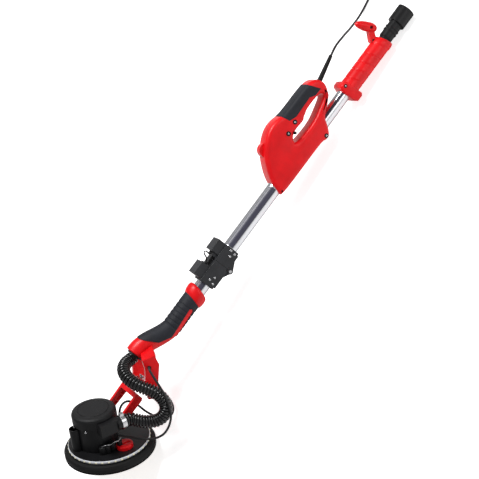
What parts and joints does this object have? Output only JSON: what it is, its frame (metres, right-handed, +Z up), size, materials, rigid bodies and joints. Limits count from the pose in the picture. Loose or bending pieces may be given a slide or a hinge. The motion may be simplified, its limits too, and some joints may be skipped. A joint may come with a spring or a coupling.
{
  "type": "pole drywall sander",
  "caption": "Telescopic folding pole sander for walls and ceilings: gimballed sanding head with brush skirt and lamp ring, dust hose, trigger handle, rear grip with cross bar",
  "frame": {"origin": "centre of the bottom of the tool's own bounding box as it lies on the floor, cord left out", "axes": "+X along the pole from the head to the hose adapter, +Z up from the floor, +Y to the side away from the hose"},
  "size_m": [1.7155, 0.4571, 0.2339],
  "materials": {
    "aluminium_tube": "bright drawn",
    "steel": "plain",
    "red_plastic": "gloss, moulded",
    "soft_grip": "soft matt",
    "black_plastic": "satin",
    "dark_plastic": "satin",
    "black_rubber": "matt",
    "brush": "bristle",
    "led": "clear over lights",
    "copper": "varnished windings",
    "foam": "foam",
    "abrasive": "grit on paper",
    "dark_strip": "satin"
  },
  "bodies": {
    "main_pole": {"mid_tube": "aluminium_tube", "channel_strip": "dark_strip", "upper_hinge_block": "dark_plastic", "upper_rivets": "steel", "handle_near": "red_plastic", "handle_far": "red_plastic", "handle_grip": "soft_grip", "handle_screws": "steel", "power_switch": "black_plastic", "strain_relief": "black_rubber", "wire_loop": "black_rubber", "mains_cord": "black_rubber", "cord_coil": "black_rubber", "mains_plug": "black_plastic"},
    "trigger": {"trigger": "red_plastic"},
    "lock_button": {"lock_button": "black_plastic"},
    "speed_dial": {"speed_dial": "red_plastic"},
    "latch_lever": {"latch_lever": "black_plastic"},
    "lower_arm": {"lower_tube": "aluminium_tube", "lower_hinge_block": "dark_plastic", "lower_rivets": "steel", "hinge_pin": "steel", "lower_handle_near": "red_plastic", "lower_handle_far": "red_plastic", "lower_grip": "soft_grip", "fork_arm_near": "red_plastic", "fork_arm_far": "red_plastic", "fork_bridge": "red_plastic", "roll_pin": "steel", "hose_socket": "black_plastic", "cable_glands": "black_rubber"},
    "rear_section": {"rear_tube": "aluminium_tube", "rear_grip": "red_plastic", "aux_stem": "red_plastic", "aux_bar": "red_plastic", "aux_screws": "black_plastic"},
    "hose_adapter": {"hose_adapter": "black_plastic"},
    "swing_frame": {"swing_frame": "red_plastic", "pitch_pin": "steel", "hose_upper": "black_rubber", "hose_lower": "black_rubber", "power_cable": "black_rubber", "light_cable": "black_rubber"},
    "head": {"skirt_ring": "black_rubber", "brush_ring": "brush", "deck_plate": "black_plastic", "led_strip": "led", "motor_housing": "black_plastic", "motor_cover": "dark_plastic", "dust_duct": "black_plastic", "hose_port": "black_plastic", "hose_clamp": "steel", "motor_stator": "copper", "bearings": "steel"},
    "suction_knob": {"suction_knob": "red_plastic"},
    "rotor": {"rotor": "steel"},
    "pad": {"pad_spindle": "steel", "backing_pad": "black_plastic", "foam_pad": "foam", "abrasive_disc": "abrasive"}
  },
  "joints": [
    {"name": "trigger_pull", "type": "hinge", "parent": "main_pole", "child": "trigger", "pos_m": [0.38265, 0.04779, 0.12407], "axis": [-0.034, 0.9291, -0.3682], "range_deg": [0, 7], "stiffness_Nm_per_rad": 1, "springref_deg": -5.73},
    {"name": "lock_button_push", "type": "slide", "parent": "main_pole", "child": "lock_button", "axis": [-0.034, 0.9291, -0.3682], "range_m": [0, 0.002], "stiffness_N_per_m": 600, "springref_m": -0.001},
    {"name": "speed_dial_turn", "type": "hinge", "parent": "main_pole", "child": "speed_dial", "pos_m": [0.21248, 0.0526, 0.1519], "axis": [-0.034, 0.9291, -0.3682], "range_deg": [-120, 120]},
    {"name": "latch_open", "type": "hinge", "parent": "main_pole", "child": "latch_lever", "pos_m": [-0.09235, 0.03263, 0.12963], "axis": [-0.034, 0.9291, -0.3682], "range_deg": [0, 100]},
    {"name": "pole_fold", "type": "hinge", "parent": "main_pole", "child": "lower_arm", "pos_m": [-0.10619, 0.00934, 0.07212], "axis": [0.034, -0.9291, 0.3682], "range_deg": [0, 150], "deforming": ["wire_loop"]},
    {"name": "pole_extend", "type": "slide", "parent": "main_pole", "child": "rear_section", "axis": [0.9958, 0, -0.0918], "range_m": [-0.015, 0.17]},
    {"name": "adapter_turn", "type": "hinge", "parent": "rear_section", "child": "hose_adapter", "pos_m": [0.67134, 0.02154, 0.03119], "axis": [0.9958, 0, -0.0918], "continuous": true},
    {"name": "head_roll", "type": "hinge", "parent": "lower_arm", "child": "swing_frame", "pos_m": [-0.58348, 0.01489, 0.13014], "axis": [0.9958, 0, -0.0918], "range_deg": [-46, 14], "deforming": ["hose_upper"]},
    {"name": "head_pitch", "type": "hinge", "parent": "swing_frame", "child": "head", "pos_m": [-0.58348, 0.01489, 0.13014], "axis": [-0.0091, 0.9951, -0.0989], "range_deg": [-38, 14], "deforming": ["hose_lower", "power_cable", "light_cable"]},
    {"name": "suction_turn", "type": "hinge", "parent": "head", "child": "suction_knob", "pos_m": [-0.56968, -0.04784, 0.16515], "axis": [0.6851, 0.0783, 0.7243], "range_deg": [0, 90]},
    {"name": "pad_spin", "type": "hinge", "parent": "head", "child": "pad", "pos_m": [-0.64963, 0.01065, 0.09362], "axis": [0.6851, 0.0783, 0.7243], "continuous": true},
    {"name": "motor_spin", "type": "hinge", "parent": "head", "child": "rotor", "pos_m": [-0.63988, 0.01581, 0.14459], "axis": [0.6851, 0.0783, 0.7243], "continuous": true}
  ],
  "couplings": [
    {"joint": "motor_spin", "follows": "pad_spin", "ratio": -2.5}
  ]
}
